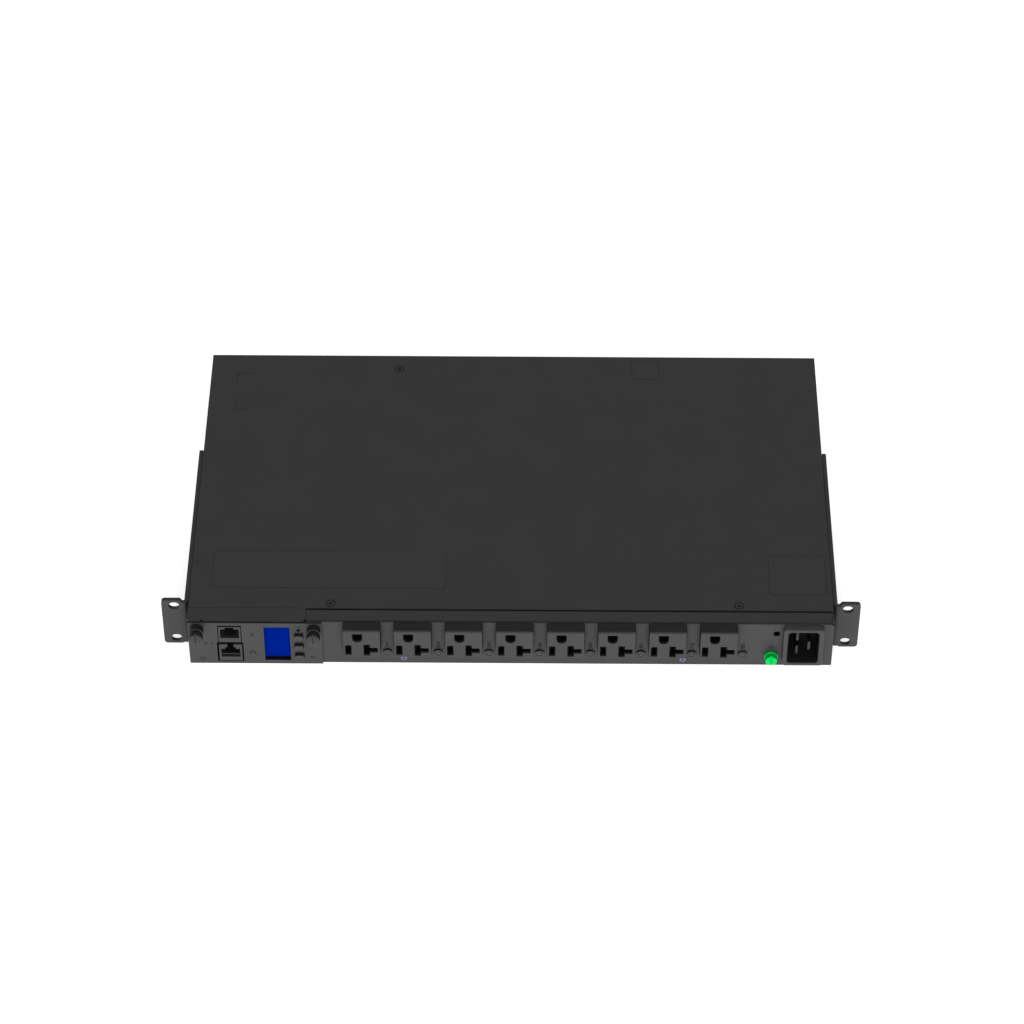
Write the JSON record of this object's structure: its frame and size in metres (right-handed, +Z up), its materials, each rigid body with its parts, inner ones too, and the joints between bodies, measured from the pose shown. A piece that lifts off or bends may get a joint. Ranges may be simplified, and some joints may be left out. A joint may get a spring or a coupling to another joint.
{
  "type": "rack power strip",
  "caption": "Low wide dark metal rack power strip with T-slot outlets in front, a shrouded inlet, slotted side ears and a slide-out network module with display.",
  "frame": {"origin": "middle of the footprint, on the plane of the underside", "axes": "+X along the front from the module to the inlet, +Y from the front panel to the rear, +Z up"},
  "size_m": [0.4826, 0.2852, 0.0424],
  "materials": {
    "chassis_paint": "satin dark grey powder coat",
    "bracket_paint": "satin dark grey powder coat",
    "outlet_plastic": "fine moulded texture",
    "indicator_plastic": "smooth moulded",
    "jack_plastic": "smooth moulded",
    "key_plastic": "smooth moulded",
    "dark_plastic": "smooth",
    "screen": "blue display, unlit",
    "zinc_plate": "zinc plated",
    "earth_green": "green lacquer",
    "black_screw": "black oxide",
    "thumbscrew_metal": "black coated",
    "blade_metal": "plated",
    "bus_copper": "bright copper",
    "circuit_board": "solder mask"
  },
  "bodies": {
    "chassis": {"bay_frame": "chassis_paint", "bay_partition": "chassis_paint", "bracket_screw_left_front": "black_screw", "bracket_screw_left_rear": "black_screw", "bracket_screw_right_front": "black_screw", "bracket_screw_right_rear": "black_screw", "chassis_tray": "chassis_paint", "cover_screw_1": "black_screw", "cover_screw_2": "black_screw", "cover_screw_3": "black_screw", "cover_screw_4": "black_screw", "front_panel": "chassis_paint", "ground_bus": "bus_copper", "inlet_housing": "outlet_plastic", "inlet_pin_ground": "blade_metal", "inlet_pin_line": "blade_metal", "inlet_pin_neutral": "blade_metal", "line_bus": "bus_copper", "neutral_bus": "bus_copper", "outlet_1": "outlet_plastic", "outlet_2": "outlet_plastic", "outlet_3": "outlet_plastic", "outlet_4": "outlet_plastic", "outlet_5": "outlet_plastic", "outlet_6": "outlet_plastic", "outlet_7": "outlet_plastic", "outlet_8": "outlet_plastic", "outlet_indicator_1": "indicator_plastic", "outlet_indicator_2": "indicator_plastic", "outlet_indicator_3": "indicator_plastic", "outlet_indicator_4": "indicator_plastic", "outlet_indicator_5": "indicator_plastic", "outlet_indicator_6": "indicator_plastic", "outlet_indicator_7": "indicator_plastic", "outlet_indicator_8": "indicator_plastic", "panel_screw_left": "zinc_plate", "panel_screw_right": "zinc_plate", "rack_bracket_left": "bracket_paint", "rack_bracket_right": "bracket_paint", "rear_panel": "chassis_paint", "relay_board": "circuit_board", "top_cover": "chassis_paint"},
    "module": {"module_faceplate": "chassis_paint", "module_tray": "chassis_paint", "module_board": "circuit_board", "sensor_jack": "jack_plastic", "ethernet_jack": "jack_plastic", "display": "screen", "status_led": "dark_plastic"},
    "scroll_button": {"scroll_button": "key_plastic"},
    "select_button": {"select_button": "key_plastic"},
    "menu_button": {"menu_button": "key_plastic"},
    "reset_button": {"reset_button": "dark_plastic"},
    "thumbscrew_left": {"thumbscrew_left": "thumbscrew_metal"},
    "thumbscrew_right": {"thumbscrew_right": "thumbscrew_metal"},
    "thumbscrew_washer_left": {"thumbscrew_washer_left": "thumbscrew_metal"},
    "thumbscrew_washer_right": {"thumbscrew_washer_right": "thumbscrew_metal"},
    "ground_screw": {"ground_screw": "earth_green"},
    "ground_washer": {"ground_washer": "earth_green"}
  },
  "joints": [
    {"name": "module_slide", "type": "slide", "parent": "chassis", "child": "module", "axis": [0, -1, 0], "range_m": [0, 0.12]},
    {"name": "scroll_press", "type": "slide", "parent": "module", "child": "scroll_button", "axis": [0, 1, 0], "range_m": [0, 0.0008], "stiffness_N_per_m": 800},
    {"name": "select_press", "type": "slide", "parent": "module", "child": "select_button", "axis": [0, 1, 0], "range_m": [0, 0.0008], "stiffness_N_per_m": 800},
    {"name": "menu_press", "type": "slide", "parent": "module", "child": "menu_button", "axis": [0, 1, 0], "range_m": [0, 0.0008], "stiffness_N_per_m": 800},
    {"name": "reset_press", "type": "slide", "parent": "module", "child": "reset_button", "axis": [0, 1, 0], "range_m": [0, 0.0005], "stiffness_N_per_m": 800},
    {"name": "thumbscrew_left_travel", "type": "slide", "parent": "module", "child": "thumbscrew_washer_left", "axis": [0, -1, 0], "range_m": [0, 0.0021]},
    {"name": "thumbscrew_left_turn", "type": "hinge", "parent": "thumbscrew_washer_left", "child": "thumbscrew_left", "pos_m": [-0.2156, -0.13645, 0.0349], "axis": [0, -1, 0], "range_deg": [0, 1080.5]},
    {"name": "thumbscrew_right_travel", "type": "slide", "parent": "module", "child": "thumbscrew_washer_right", "axis": [0, -1, 0], "range_m": [0, 0.0021]},
    {"name": "thumbscrew_right_turn", "type": "hinge", "parent": "thumbscrew_washer_right", "child": "thumbscrew_right", "pos_m": [-0.1352, -0.13645, 0.0349], "axis": [0, -1, 0], "range_deg": [0, 1080.5]},
    {"name": "ground_screw_travel", "type": "slide", "parent": "chassis", "child": "ground_washer", "axis": [0, -1, 0], "range_m": [0, 0.0024]},
    {"name": "ground_screw_turn", "type": "hinge", "parent": "ground_washer", "child": "ground_screw", "pos_m": [0.18, -0.13345, 0.0097], "axis": [0, -1, 0], "range_deg": [0, 1080.5]}
  ],
  "couplings": [
    {"joint": "thumbscrew_left_turn", "follows": "thumbscrew_left_travel", "rad_per_m": 8976},
    {"joint": "thumbscrew_right_turn", "follows": "thumbscrew_right_travel", "rad_per_m": 8976},
    {"joint": "ground_screw_turn", "follows": "ground_screw_travel", "rad_per_m": 7854}
  ]
}
